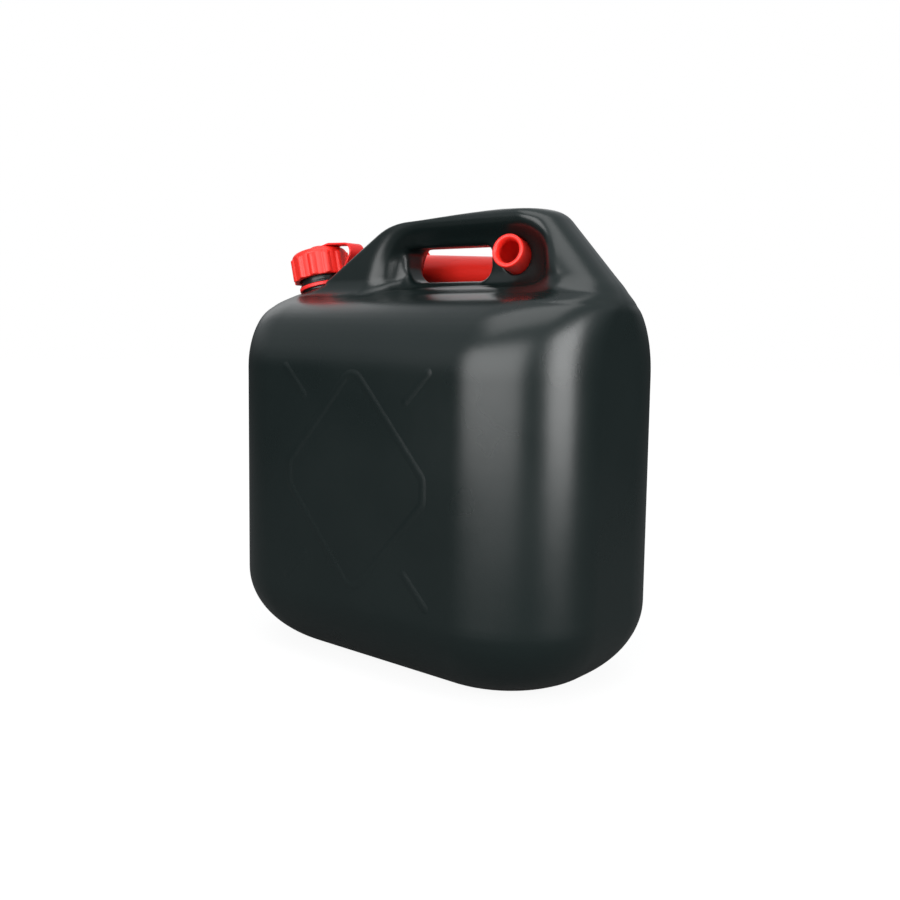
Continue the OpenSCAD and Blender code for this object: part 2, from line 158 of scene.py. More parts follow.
def rot_y(a):
    c, s = math.cos(math.radians(a)), math.sin(math.radians(a))
    return np.array([[c, 0, s], [0, 1, 0], [-s, 0, c]])


def rot_z(a):
    c, s = math.cos(math.radians(a)), math.sin(math.radians(a))
    return np.array([[c, -s, 0], [s, c, 0], [0, 0, 1]])


def placed(v, origin, rot):
    """Points of a local frame in the can's frame."""
    return np.asarray(v) @ np.asarray(rot).T + np.asarray(origin)


def angles(count):
    """Equal steps round a full turn."""
    return np.linspace(0, 2 * math.pi, count, endpoint=False)


def seg_dist(px, pz, a, b):
    """Distance of points to a segment."""
    ax, az = a
    dx, dz = b[0] - ax, b[1] - az
    t = np.clip(((px - ax) * dx + (pz - az) * dz) / (dx * dx + dz * dz + 1e-12), 0, 1)
    return np.hypot(px - ax - t * dx, pz - az - t * dz)


class Table:
    """Signed distance to a closed outline, kept on a fine grid and read between its points."""

    def __init__(self, poly, lo, hi, step=0.5):
        self.lo, self.step = lo, step
        u = np.arange(lo[0], hi[0] + step, step)
        v = np.arange(lo[1], hi[1] + step, step)
        gu, gv = np.meshgrid(u, v, indexing="ij")
        d = np.full(gu.shape, 1e9)
        inside = np.zeros(gu.shape, bool)
        for a, b in zip(poly, np.roll(poly, -1, axis=0)):
            if abs(a[0] - b[0]) + abs(a[1] - b[1]) < 1e-9:
                continue
            d = np.minimum(d, seg_dist(gu, gv, a, b))
            cross = (a[1] > gv) != (b[1] > gv)
            with np.errstate(divide="ignore", invalid="ignore"):
                inside ^= cross & (gu < (b[0] - a[0]) * (gv - a[1]) / (b[1] - a[1]) + a[0])
        self.f = np.where(inside, -d, d)

    def __call__(self, u, v):
        f = self.f
        a = np.clip((u - self.lo[0]) / self.step, 0, f.shape[0] - 1.001)
        b = np.clip((v - self.lo[1]) / self.step, 0, f.shape[1] - 1.001)
        i, j = a.astype(int), b.astype(int)
        s, t = a - i, b - j
        return ((f[i, j] * (1 - s) + f[i + 1, j] * s) * (1 - t)
                + (f[i, j + 1] * (1 - s) + f[i + 1, j + 1] * s) * t)


# ---------------------------------------------------------------- the can's outlines
# side is one half seen along X; front and rear are the two ends seen along Y
side = rounded([(HALF_W - BOTTOM_R, 0), (HALF_W, 0), (HALF_W - DRAFT, SHOULDER_Z - SHOULDER_DROP),
                (HANDLE_HALF, SHOULDER_Z + 2), (HANDLE_HALF - HANDLE_TAPER, HANDLE_Z), (2, HANDLE_Z)],
               [BOTTOM_R, SHOULDER_R, FILLET_R, HANDLE_TOP_R])
front = rounded([(-HALF_L + BOTTOM_FRONT_R, 0), (-HALF_L, 0), (-HALF_L + DRAFT, CORNER_Z),
                 (NECK_X + 21, NECK_Z + 7.4), (HANDLE_FRONT_X, HANDLE_Z - 4.5),
                 (HANDLE_REAR_X - 40, HANDLE_Z)],
                [BOTTOM_FRONT_R, 20, 40, HANDLE_BEND_R])
rear = rounded([(HALF_L - BOTTOM_R, 0), (HALF_L, 0), (HALF_L - DRAFT, CORNER_Z),
                (HANDLE_REAR_X, HANDLE_Z - 1), (HANDLE_REAR_X - 30, HANDLE_Z)],
               [BOTTOM_R, REAR_R, HANDLE_REAR_R])
profile_a = Table(np.vstack([front, rear[::-1]]), (-160, -8), (160, 320))
profile_b = Table(np.vstack([[(-30, 0)], side, [(-30, HANDLE_Z)]]), (0, -8), (96, 320))

# at each height: half the width, both ends, and the corner radii at the rear and the front
LEVELS = np.arange(0, HANDLE_Z + 0.01, 0.1)


def by_height(path):
    """How far an outline reaches at each of the levels."""
    z = np.maximum.accumulate(path[:, 1] + np.arange(len(path)) * 1e-7)
    return np.interp(LEVELS, z, path[:, 0])


half_at, front_at, rear_at = by_height(side), by_height(front), by_height(rear)
wanted_r = np.minimum(CORNER_R - 0.4 * np.maximum(0, HALF_W - half_at), half_at * 0.95)
rear_r_at = np.maximum(1, np.minimum(wanted_r, (rear_at - front_at) * 0.49))
tight = np.clip((LEVELS - SHOULDER_Z - TIGHTEN_FROM) / (TIGHTEN_TO - TIGHTEN_FROM), 0, 1)
front_r_at = np.minimum(rear_r_at, rear_r_at + (HANDLE_FRONT_R - rear_r_at) * tight)


def hull_of_circles(circles, n=96):
    """The outline round a set of circles, for a convex shape."""
    out = []
    for k in range(n):
        t = 2 * math.pi * k / n
        d = (math.cos(t), math.sin(t))
        best = max(circles, key=lambda c: c[0] * d[0] + c[1] * d[1] + c[2])
        out.append((best[0] + best[2] * d[0], best[1] + best[2] * d[1]))
    return out


def handle_table(circles):
    return Table(hull_of_circles(circles), (-64, 250), (134, 324))


def hollow_outline(inset, front_r, rear_r=19, low_r=5):
    """A hollow's circles, drawn in from its rim by the inset."""
    low, top = HOLLOW_LOW + inset * 0.33, HOLLOW_TOP - inset
    x0, x1 = HOLLOW_FRONT + inset, HOLLOW_REAR - inset
    return [(x0 + front_r, top - front_r, front_r), (x1 - rear_r, top - rear_r, rear_r),
            (x1 - low_r, low + low_r, low_r), (x0 + low_r, low + low_r, low_r)]


hollow_face = handle_table(hollow_outline(3, 40))
hollow_web = handle_table(hollow_outline(12, 14))
grip = handle_table([(GRIP_FRONT + 4, GRIP_TOP - 4, 4), (GRIP_FRONT + 12, GRIP_LOW + 12, 12),
                     (GRIP_REAR - 10, GRIP_LOW + 10, 10), (GRIP_REAR - 5, GRIP_TOP - 5, 5)])

# ---------------------------------------------------------------- the frames of spout and neck
ELBOW = np.array([HANDLE_REAR_X - ELBOW_IN, ELBOW_OUT, SHOULDER_Z + ELBOW_UP])
SPOUT_TURN = rot_z(TURN_Z) @ rot_y(TURN_Y) @ rot_x(TURN_X)
lead = math.radians(90 - ELBOW_TURN)
mouth_start = np.array([-ELBOW_R + ELBOW_R * math.cos(lead), -ELBOW_R + ELBOW_R * math.sin(lead), 0])
mouth_dir = np.array([math.sin(lead), -math.cos(lead), 0])
SOCKET_AT = ELBOW + SPOUT_TURN @ (mouth_start - mouth_dir)
SOCKET_AXIS = SPOUT_TURN @ mouth_dir
NECK_AT = np.array([NECK_X, 0, NECK_Z])
NECK_TURN = rot_y(-NECK_TILT)
NECK_AXIS = NECK_TURN @ np.array([0, 0, 1.0])


# ---------------------------------------------------------------- the can's surface as distances
def plan(x, y, z):
    """Signed distance to the can's outline at the height z."""
    z = np.clip(z, 0, HANDLE_Z)
    hw, x0, x1 = (np.interp(z, LEVELS, at) for at in (half_at, front_at, rear_at))
    middle = (x0 + x1) / 2
    r = np.where(x > middle, np.interp(z, LEVELS, rear_r_at), np.interp(z, LEVELS, front_r_at))
    qx = np.abs(x - middle) - (x1 - x0) / 2 + r
    qy = np.abs(y) - hw + r
    return np.minimum(np.maximum(qx, qy), 0) + np.hypot(np.maximum(qx, 0), np.maximum(qy, 0)) - r


def axial(x, y, z, origin, axis):
    """Height along an axis and distance from it."""
    dx, dy, dz = x - origin[0], y - origin[1], z - origin[2]
    s = dx * axis[0] + dy * axis[1] + dz * axis[2]
    off = (dx - s * axis[0]) ** 2 + (dy - s * axis[1]) ** 2 + (dz - s * axis[2]) ** 2
    return s, np.sqrt(np.maximum(off, 0))


def outside(x, y, z):
    """Signed distance to the can's outer surface, negative inside."""
    h = 0.6
    f = plan(x, y, z)
    fz = (plan(x, y, z + h) - plan(x, y, z - h)) / (2 * h)
    d = f / np.sqrt(1 + fz * fz)
    ay = np.abs(y)
    d = np.maximum(d, np.maximum(profile_a(x, z), profile_b(ay, z)))
    # the hollows, the finger opening and the spout's socket
    t = (ay - WEB_HALF) / (HANDLE_HALF - WEB_HALF)
    hollow = hollow_web(x, z) * (1 - t) + hollow_face(x, z) * t
    hollow = smax(hollow / math.sqrt(1 + HOLLOW_SLOPE ** 2), HOLLOW_FLOOR - z, SOFT_FLOOR)
    hollow = smax(hollow, WEB_HALF - ay, SOFT_WEB)
    s, r = axial(x, y, z, SOCKET_AT, SOCKET_AXIS)
    socket = np.maximum(np.maximum(r - MOUTH_D / 2 - SOCKET_GAP, -s), s - MOUTH_L - SOCKET_SPARE)
    # the neck's foot
    s, r = axial(x, y, z, NECK_AT, NECK_AXIS)
    stub = np.maximum(np.maximum(r - NECK_OUT, s - STUB_UP), -s - STUB_DOWN)
    up = z > CUTS_FROM
    for cut, soft in ((hollow, SOFT_HOLLOW), (grip(x, z), SOFT_GRIP), (socket, SOFT_SOCKET)):
        d = np.where(up, smax(d, -cut, soft), d)
    return np.where(up, smin(d, stub, SOFT_NECK), d)


def gradient(fn, p, h):
    g = np.empty_like(p)
    for i in range(3):
        e = np.zeros(3)
        e[i] = h
        a, b = p + e, p - e
        g[:, i] = (fn(a[:, 0], a[:, 1], a[:, 2]) - fn(b[:, 0], b[:, 1], b[:, 2])) / (2 * h)
    return g


def surface(fn, xs, ys, zs, relax=2):
    """Where fn is 0 on a rectilinear grid: vertices drawn onto it, quads and normals."""
    f = np.empty((len(xs), len(ys), len(zs)))
    gx, gy = np.meshgrid(xs, ys, indexing="ij")
    for k, z in enumerate(zs):
        f[:, :, k] = fn(gx, gy, np.full(gx.shape, z))
    ins = f < 0
    grids = np.meshgrid(xs, ys, zs, indexing="ij")
    acc = np.zeros((len(xs) - 1, len(ys) - 1, len(zs) - 1, 4))
    idx = np.arange(acc[..., 0].size).reshape(acc.shape[:3])
    quads = []
    # every grid edge that crosses the surface gives a quad between the four cells round it
    for ax in range(3):
        lo, hi = [slice(None)] * 3, [slice(None)] * 3
        lo[ax], hi[ax] = slice(0, -1), slice(1, None)
        here = np.nonzero(ins[tuple(lo)] != ins[tuple(hi)])
        there = tuple(c + (m == ax) for m, c in enumerate(here))
        a, b = f[here], f[there]
        t = a / (a - b)
        p = np.stack([g[here] * (1 - t) + g[there] * t for g in grids], -1)
        o1, o2 = [c for c in range(3) if c != ax]
        ids = []
        for d1, d2 in ((-1, -1), (0, -1), (0, 0), (-1, 0)):
            c = [q.copy() for q in here]
            c[o1] = c[o1] + d1
            c[o2] = c[o2] + d2
            ok = (c[o1] >= 0) & (c[o2] >= 0) & (c[o1] < acc.shape[o1]) & (c[o2] < acc.shape[o2])
            cell = tuple(q[ok] for q in c)
            for m in range(3):
                np.add.at(acc[..., m], cell, p[ok, m])
            np.add.at(acc[..., 3], cell, 1)
            near = tuple(np.clip(q, 0, size - 1) for q, size in zip(c, idx.shape))
            ids.append(np.where(ok, idx[near], -1))
        quad = np.stack(ids, -1)
        flip = ins[here] == (ax == 1)
        quad[flip] = quad[flip][:, ::-1]
        quads.append(quad[(quad >= 0).all(1)])
    quads = np.vstack(quads)
    used = np.unique(quads)
    remap = np.full(idx.size, -1)
    remap[used] = np.arange(len(used))
    cell = acc.reshape(-1, 4)[used]
    v = cell[:, :3] / cell[:, 3:]
    quads = remap[quads]
    e = np.vstack([quads[:, [0, 1]], quads[:, [1, 2]], quads[:, [2, 3]], quads[:, [3, 0]]])
    # relax along the edges, then draw the vertices back onto the surface
    for it in range(relax + 2):
        if it < relax:
            s = np.zeros((len(v), 4))
            for m in range(3):
                s[:, m] = (np.bincount(e[:, 0], v[e[:, 1], m], len(v))
                           + np.bincount(e[:, 1], v[e[:, 0], m], len(v)))
            s[:, 3] = (np.bincount(e[:, 0], minlength=len(v))
                       + np.bincount(e[:, 1], minlength=len(v)))
            v = 0.5 * v + 0.5 * s[:, :3] / s[:, 3:]
        g = gradient(fn, v, 0.25)
        g2 = np.maximum((g * g).sum(1), 0.05)
        move = (fn(v[:, 0], v[:, 1], v[:, 2]) / g2)[:, None] * g
        v = v - np.clip(move, -2.0, 2.0)
    n = gradient(fn, v, 0.7)
    n /= np.maximum(np.linalg.norm(n, axis=1, keepdims=True), 1e-9)
    return v, quads, n


# ---------------------------------------------------------------- meshes
def make(name, verts, faces, mat, normals=None, body="can"):
    """A smooth mesh piece from millimetre points, riding on a body."""
    me = bpy.data.meshes.new(name)
    me.from_pydata((np.asarray(verts) * 0.001).tolist(), [], [list(map(int, q)) for q in faces])
    me.update()
    me.polygons.foreach_set("use_smooth", [True] * len(me.polygons))
    if normals is not None:
        me.normals_split_custom_set_from_vertices(np.asarray(normals).tolist())
    ob = bpy.data.objects.new(name, me)
    bpy.context.scene.collection.objects.link(ob)
    me.materials.append(mat)
    if body:
        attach(ob, body)
    return ob


def join(name, parts, mat, body="can"):
    """One piece from several (vertices, faces) groups."""
    vs, fs, base = [], [], 0
    for v, f in parts:
        vs.append(np.asarray(v))
        fs += [tuple(base + int(i) for i in q) for q in f]
        base += len(v)
    return make(name, np.vstack(vs), fs, mat, body=body)


def soften(ob, angle):
    """Smooth shading that keeps edges sharper than the angle."""
    ob.data.set_sharp_from_angle(angle=math.radians(angle))


def lathe(rings, closed=False):
    """Vertices and quads of rings of equal length; each ring is a closed loop."""
    count, m, faces = len(rings[0]), len(rings), []
    for a in range(m if closed else m - 1):
        b = (a + 1) % m
        for j in range(count):
            jj = (j + 1) % count
            faces.append((a * count + j, a * count + jj, b * count + jj, b * count + j))
    return np.vstack(rings), faces


def end_caps(rings):
    """The two faces that close a lathe's first and last ring."""
    count = len(rings[0])
    last = (len(rings) - 1) * count
    return [tuple(range(count))[::-1], tuple(range(last, last + count))]


def hoop(radius, height, th):
    """A ring about the Z axis; its radius may change round it."""
    return np.stack([radius * np.cos(th), radius * np.sin(th), np.full(len(th), float(height))], -1)


# ---------------------------------------------------------------- materials
def material(name):
    m = bpy.data.materials.new(name)
    m.use_nodes = True
    return m, m.node_tree, m.node_tree.nodes["Principled BSDF"]


def add(nt, kind, **inputs):
    """A new node with inputs set; an underscore in a name stands for a space."""
    node = nt.nodes.new(kind)
    for name, value in inputs.items():
        node.inputs[name.replace("_", " ")].default_value = value
    return node


def plastic(name, color, rough, rough_var, grain, grain_scale, mottled):
    """Moulded plastic: a fine skin (grain), a slow waviness, and small changes of gloss and tint."""
    m, nt, bsdf = material(name)
    link = nt.links.new
    coords = add(nt, "ShaderNodeTexCoord")
    slow = add(nt, "ShaderNodeTexNoise", Scale=14.0, Detail=3.0)
    fine = add(nt, "ShaderNodeTexNoise", Scale=grain_scale, Detail=6.0, Roughness=0.65)
    for noise in (slow, fine):
        link(coords.outputs["Object"], noise.inputs["Vector"])
    gloss = add(nt, "ShaderNodeMapRange", From_Min=0.3, From_Max=0.7,
                To_Min=rough - rough_var, To_Max=rough + rough_var)
    link(slow.outputs["Fac"], gloss.inputs["Value"])
    link(gloss.outputs["Result"], bsdf.inputs["Roughness"])
    tint = add(nt, "ShaderNodeMix")
    tint.data_type = "RGBA"
    tint.inputs["A"].default_value = (*[c * (1 - mottled) for c in color], 1)
    tint.inputs["B"].default_value = (*[min(1, c * (1 + mottled)) for c in color], 1)
    link(slow.outputs["Fac"], tint.inputs["Factor"])
    link(tint.outputs["Result"], bsdf.inputs["Base Color"])
    skin = add(nt, "ShaderNodeBump", Strength=grain, Distance=0.0004)
    link(fine.outputs["Fac"], skin.inputs["Height"])
    wave = add(nt, "ShaderNodeBump", Strength=0.25, Distance=0.0012)
    link(slow.outputs["Fac"], wave.inputs["Height"])
    link(skin.outputs["Normal"], wave.inputs["Normal"])
    link(wave.outputs["Normal"], bsdf.inputs["Normal"])
    bsdf.inputs["IOR"].default_value = 1.5
    return m


BLACK = plastic("black_polyethylene", (0.0040, 0.0082, 0.0080), 0.29, 0.03, 0.10, 900, 0.08)
RED = plastic("red_polyethylene", (0.80, 0.022, 0.014), 0.36, 0.04, 0.06, 700, 0.03)
RED_SOFT = plastic("red_soft_polyethylene", (0.78, 0.020, 0.018), 0.42, 0.04, 0.05, 500, 0.04)
RUBBER = plastic("black_rubber", (0.018, 0.018, 0.018), 0.65, 0.05, 0.2, 1200, 0.1)


# ---------------------------------------------------------------- the can
def spans(parts):
    """Grid lines over stretches of (from, to, step)."""
    out = []
    for a, b, step in parts:
        out += list(np.linspace(a, b, max(1, int(round((b - a) / step))), endpoint=False))
    out.append(parts[-1][1])
    return np.array(out)


def open_neck(v, quads, above):
    """The quads without those that close the neck's bore higher than above."""
    s, r = axial(v[:, 0], v[:, 1], v[:, 2], NECK_AT, NECK_AXIS)
    bore = (r < NECK_IN) & (s > above)
    return quads[~bore[quads].all(1)]


def can_skins():
    """The outer and the inner skin as vertices, quads and normals."""
    # the grids reach a few mm past the can and are finer across the handle
    k = 1.0
    v, q, n = surface(outside, spans([(-153, 153, 2.1 * k)]),
                      spans([(-90, -34, 2.6 * k), (-34, 34, 1.5 * k), (34, 90, 2.6 * k)]),
                      spans([(-3, 246, 2.5 * k), (246, 315, 1.5 * k)]))
    iv, iq, inn = surface(lambda x, y, z: outside(x, y, z) + WALL, spans([(-153, 153, 5.0)]),
                          spans([(-90, -34, 5.0), (-34, 34, 3.4), (34, 90, 5.0)]),
                          spans([(-3, 246, 5.5), (246, 315, 3.0)]), relax=1)
    q, iq = open_neck(v, q, 1.0), open_neck(iv, iq, -16)[:, ::-1]
    verts, faces = np.vstack([v, iv]), np.vstack([q, iq + len(v)])
    used = np.unique(faces)
    remap = np.full(len(verts), -1)
    remap[used] = np.arange(len(used))
    return verts[used], remap[faces], np.vstack([n, -inn])[used]


skin_v, skin_f, skin_n = can_skins()
shell = make("can_shell", skin_v, skin_f, BLACK, skin_n)
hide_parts("can_body")


# ---------------------------------------------------------------- the raised lines
def ridge(points, face_side, loop):
    """A soft raised line on one flat face, as a closed strip that follows the face."""
    p = np.array(points, float)
    full = np.vstack([p, p[:1]]) if loop else p
    seg = np.diff(full, axis=0)
    at = np.concatenate([[0], np.cumsum(np.hypot(seg[:, 0], seg[:, 1]))])
    count = int(at[-1] / 1.5)
    t = np.linspace(0, at[-1], count, endpoint=not loop)
    x, z = np.interp(t, at, full[:, 0]), np.interp(t, at, full[:, 1])
    if loop:
        tx, tz = np.roll(x, -1) - np.roll(x, 1), np.roll(z, -1) - np.roll(z, 1)
        fade = np.ones(count)
    else:
        tx, tz = np.gradient(x), np.gradient(z)
        fade = np.clip(np.minimum(t, at[-1] - t) / 3.0, 0, 1)
    size = np.hypot(tx, tz)
    tx, tz = tx / size, tz / size
    rings = []
    for k in range(count):
        w = RIDGE_W * (0.35 + 0.65 * math.sqrt(fade[k]))
        # across the line: a crest whose foot lies just under the face, closed behind it
        section = [(u, RIDGE_H * fade[k] * math.cos(u * math.pi / 2) ** 2 - 0.08)
                   for u in np.linspace(-1, 1, 11)] + [(1, -0.8), (-1, -0.8)]
        ring = []
        for u, h in section:
            level = z[k] + u * w * tx[k]
            y = face_side * (np.interp(level, LEVELS, half_at) + h)
            ring.append((x[k] - u * w * tz[k], y, level))
        rings.append(np.array(ring[::-1] if face_side > 0 else ring))
    v, f = lathe(rings, closed=loop)
    return v, (f if loop else f + end_caps(rings))


# the diamond starts and ends in the middle of its lower right edge
half_edge = (DIAMOND_L / 2, DIAMOND_Z - (DIAMOND_EDGE + DIAMOND_H) / 2)
corners = [(DIAMOND_L, DIAMOND_Z - DIAMOND_EDGE), (DIAMOND_L, DIAMOND_Z + DIAMOND_EDGE),
           (0, DIAMOND_Z + DIAMOND_H), (-DIAMOND_L, DIAMOND_Z + DIAMOND_EDGE),
           (-DIAMOND_L, DIAMOND_Z - DIAMOND_EDGE), (0, DIAMOND_Z - DIAMOND_H)]
diamond = rounded([half_edge] + corners + [half_edge], [6, 6, 10, 6, 6, 10], n=8)[:-1]
groups = []
for face_side in (-1, 1):
    groups.append(ridge(diamond, face_side, True))
    for sx in (-1, 1):
        for sz in (-1, 1):
            short = [(sx * x, DIAMOND_Z + sz * z) for x, z in (SHORT_FROM, SHORT_TO)]
            groups.append(ridge(short, face_side, False))
relief = join("face_ridges", groups, BLACK)
soften(relief, 60)
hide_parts("can_body")


# ---------------------------------------------------------------- the neck, open at both ends
def neck_rings(th):
    foot = [(NECK_OUT, -4.0), (NECK_OUT, 2.0), (NECK_OUT, 6.0)]
    flange = [(NECK_OUT, 8.3), (17.7, 8.7)] + arc(17.6, 9.2, 0.5, -60, 0, 3)
    flange += arc(17.6, 9.6, 0.5, 0, 80, 3) + [(16.6, 10.4)]
    rings = [hoop(r, h, th) for r, h in foot + flange]
    for h in np.arange(11.0, 29.4, 0.35):
        climb = (h - THREAD_FROM) / THREAD_PITCH - th / (2 * math.pi)
        crest = smoothstep(np.clip(1.6 - 5.2 * np.abs(climb % 1.0 - 0.5), 0, 1))
        live = np.clip(np.minimum(climb, THREAD_TURNS - climb) * 6, 0, 1)
        rings.append(hoop(NECK_OUT + THREAD_OUT * crest * live, h, th))
    lip = arc(NECK_OUT - NECK_EDGE, NECK_H - NECK_EDGE, NECK_EDGE, 0, 90, 4)
    lip += arc(NECK_IN + NECK_EDGE, NECK_H - NECK_EDGE, NECK_EDGE, 90, 180, 4)
    bore = [(NECK_IN, 20), (NECK_IN, 5), (NECK_IN, -4.0), (15.0, -4.0)]
    return rings + [hoop(r, h, th) for r, h in lip + bore]


neck_v, neck_f = lathe(neck_rings(angles(160)), closed=True)
neck = make("can_neck", placed(neck_v, NECK_AT, NECK_TURN), neck_f, BLACK)
soften(neck, 50)
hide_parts("can_body")


# ---------------------------------------------------------------- ribbed cap and collar
def ribs(th):
    """How far the ribs stand out, round the edge."""
    c = CAP_R + RIB_OUT - RIB_R
    pitch = 2 * math.pi / RIBS
    ph = (th + pitch / 2) % pitch - pitch / 2
    s = c * np.sin(ph)
    r = np.where(np.abs(s) < RIB_R, c * np.cos(ph) + np.sqrt(np.maximum(RIB_R ** 2 - s * s, 0)), 0)
    return smax(r, np.full_like(r, CAP_R), 1.0) - CAP_R


def ribbed(profile, closed):
    """A profile of (radius, height, share of the ribs) turned about the axis."""
    th = angles(360)
    return lathe([hoop(r + share * ribs(th), h, th) for r, h, share in profile], closed)


# from the crown's inside, down the bore, up the ribs, over the edge and up the stud
crown = CAP_H - CROWN_T
rim = CAP_H - CAP_EDGE
prof = [(0.01, crown, 0), (CAP_BORE_R - 0.4, crown, 0), (CAP_BORE_R, crown - 0.4, 0)]
prof += [(CAP_BORE_R, h, 0) for h in np.arange(CAP_H - 4, 1.0, -1.5)]
prof += [(CAP_BORE_R, 0.5, 0), (CAP_BORE_R + 0.4, 0.0, 0)]
prof += [(CAP_R - 0.7, 0, 0.55), (CAP_R - 0.2, 0.2, 0.85), (CAP_R, 0.7, 1)]
prof += [(CAP_R, h, 1) for h in np.linspace(1.5, rim - 1.6, 8)]
prof += [(CAP_R, rim - down, share) for down, share in ((1.0, 0.96), (0.6, 0.8), (0.35, 0.4), (0.2, 0.0))]
prof += [(x, y, 0) for x, y in arc(CAP_R - CAP_EDGE, rim, CAP_EDGE, 0, 90, 10)]
stud = [(6.0, 0), (4.9, 0.05), (4.5, 0.4), (4.5, 2.0), (6.6, 2.1), (7.0, 2.5), (7.0, 3.0),
        (6.6, 3.8), (5.6, 4.2), (3.0, 4.3), (0.01, 4.3)]
prof += [(r, CAP_H + up, 0) for r, up in stud]
cap_v, cap_f = ribbed(prof, closed=False)
cap = make("cap", placed(cap_v + [0, 0, CAP_TOP - CAP_H], NECK_AT, NECK_TURN), cap_f, RED, body="cap")
soften(cap, 40)
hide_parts("screw_cap")

# the collar: down its bore to the lip, through the lip, and back up the ribs
prof = [(CAP_BORE_R, COLLAR_L - 0.4, 0)]
prof += [(CAP_BORE_R, h, 0) for h in np.arange(COLLAR_L - 1.5, LIP_T + 0.4, -1.5)]
prof += [(CAP_BORE_R, LIP_T, 0), (SPOUT_D / 2 + 0.4, LIP_T, 0)]
prof += [(SPOUT_D / 2 + 0.4, 0.3, 0), (SPOUT_D / 2 + 0.8, 0, 0), (CAP_R - 2, 0, 0)]
prof += [(CAP_R - 0.6, 0.6, 0), (CAP_R, 2.0, 0), (CAP_R, 2.3, 0.2), (CAP_R, 2.6, 0.8), (CAP_R, 3.2, 1.0)]
prof += [(CAP_R, h, 1) for h in np.linspace(4, COLLAR_L - 0.9, 7)]
prof += [(CAP_R - 0.3, COLLAR_L - 0.2, 0.8), (CAP_R - 0.8, COLLAR_L, 0.5), (CAP_BORE_R + 0.4, COLLAR_L, 0)]
collar_v, collar_f = ribbed(prof, closed=True)
to_base = np.array([[0, 0, -1], [0, 1, 0], [1, 0, 0]], float)      # height runs towards the spout's base
collar_v = collar_v @ to_base.T + [-LEG_L + FLANGE_T + LIP_GAP + LIP_T, 0, 0]
collar = make("collar", placed(collar_v, ELBOW, SPOUT_TURN), collar_f, RED, body="collar")
soften(collar, 40)
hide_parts("spout_collar")


# ---------------------------------------------------------------- the spout
def spout_line():
    """Centre points and directions along the spout, from its base to its mouth."""
    out = [((x, 0, 0), (1, 0, 0)) for x in np.linspace(-LEG_L, -ELBOW_R, 40)]
    for a in np.linspace(90, 90 - ELBOW_TURN, 26)[1:]:
        c, s = math.cos(math.radians(a)), math.sin(math.radians(a))
        out.append(((-ELBOW_R + ELBOW_R * c, -ELBOW_R + ELBOW_R * s, 0), (s, -c, 0)))
    out += [(mouth_start + mouth_dir * t, mouth_dir) for t in np.linspace(0, MOUTH_L, 16)[1:]]
    return [(np.array(c, float), np.array(t, float)) for c, t in out]


def spout_ring(centre, direction, radius):
    """A ring about the spout's line, from its side over its top."""
    up = np.array([0, 0, 1.0])
    a = angles(96)
    return centre + radius * (np.outer(np.cos(a), np.cross(up, direction)) + np.outer(np.sin(a), up))


def spout_rings():
    line = spout_line()
    steps = [np.linalg.norm(b[0] - a[0]) for a, b in zip(line[:-1], line[1:])]
    dist = np.concatenate([[0], np.cumsum(steps)])
    end, mouth = line[-1]
    # the flange on the base, then the outside of leg, elbow and mouth
    base = [(0, LEG_BORE_R), (0, FLANGE_R - FLANGE_EDGE), (FLANGE_EDGE, FLANGE_R),
            (FLANGE_T - FLANGE_EDGE, FLANGE_R), (FLANGE_T, FLANGE_R - FLANGE_EDGE),
            (FLANGE_T, SPOUT_D / 2 + 0.3), (FLANGE_T + 0.4, SPOUT_D / 2)]
    rings = [spout_ring(np.array([-LEG_L + x, 0, 0]), np.array([1.0, 0, 0]), r) for x, r in base]
    for (c, t), d in zip(line, dist):
        if 4.0 < d < dist[-1] - 1.2:
            narrow = smoothstep(np.clip((d - NARROW_FROM) / NARROW_L, 0, 1))
            rings.append(spout_ring(c, t, SPOUT_D / 2 * (1 - narrow) + MOUTH_D / 2 * narrow))
    # over the rounded lip, then back down the bore
    lip = [(1.1, 11.0), (0.55, 10.9), (0.15, 10.55), (0.0, 10.0), (0.0, 9.3), (0.2, 8.6),
           (0.8, 8.1), (2.5, 7.6), (5.0, 7.3), (5.6, 7.6), (6.2, 9.0)]
    rings += [spout_ring(end - mouth * back, mouth, r) for back, r in lip]
    for (c, t), d in reversed(list(zip(line, dist))):
        if 0.5 < d < dist[-1] - 7.0:
            rings.append(spout_ring(c, t, LEG_BORE_R if d < NARROW_FROM else MOUTH_BORE_R))
    return rings


spout_v, spout_f = lathe(spout_rings(), closed=True)
spout = make("spout", placed(spout_v, ELBOW, SPOUT_TURN), spout_f, RED)
soften(spout, 45)
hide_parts("spout_tube")


# ---------------------------------------------------------------- the tether
def band(r0, r1, h0, h1, c, count=160):
    """A flat ring about the neck's axis, its edges rounded by c."""
    prof = arc(r1 - c, h0 + c, c, -90, 0, 3) + arc(r1 - c, h1 - c, c, 0, 90, 3)
    prof += arc(r0 + c, h1 - c, c, 90, 180, 3) + arc(r0 + c, h0 + c, c, 180, 270, 3)
    th = angles(count)
    return lathe([hoop(r, h, th) for r, h in prof], closed=True)


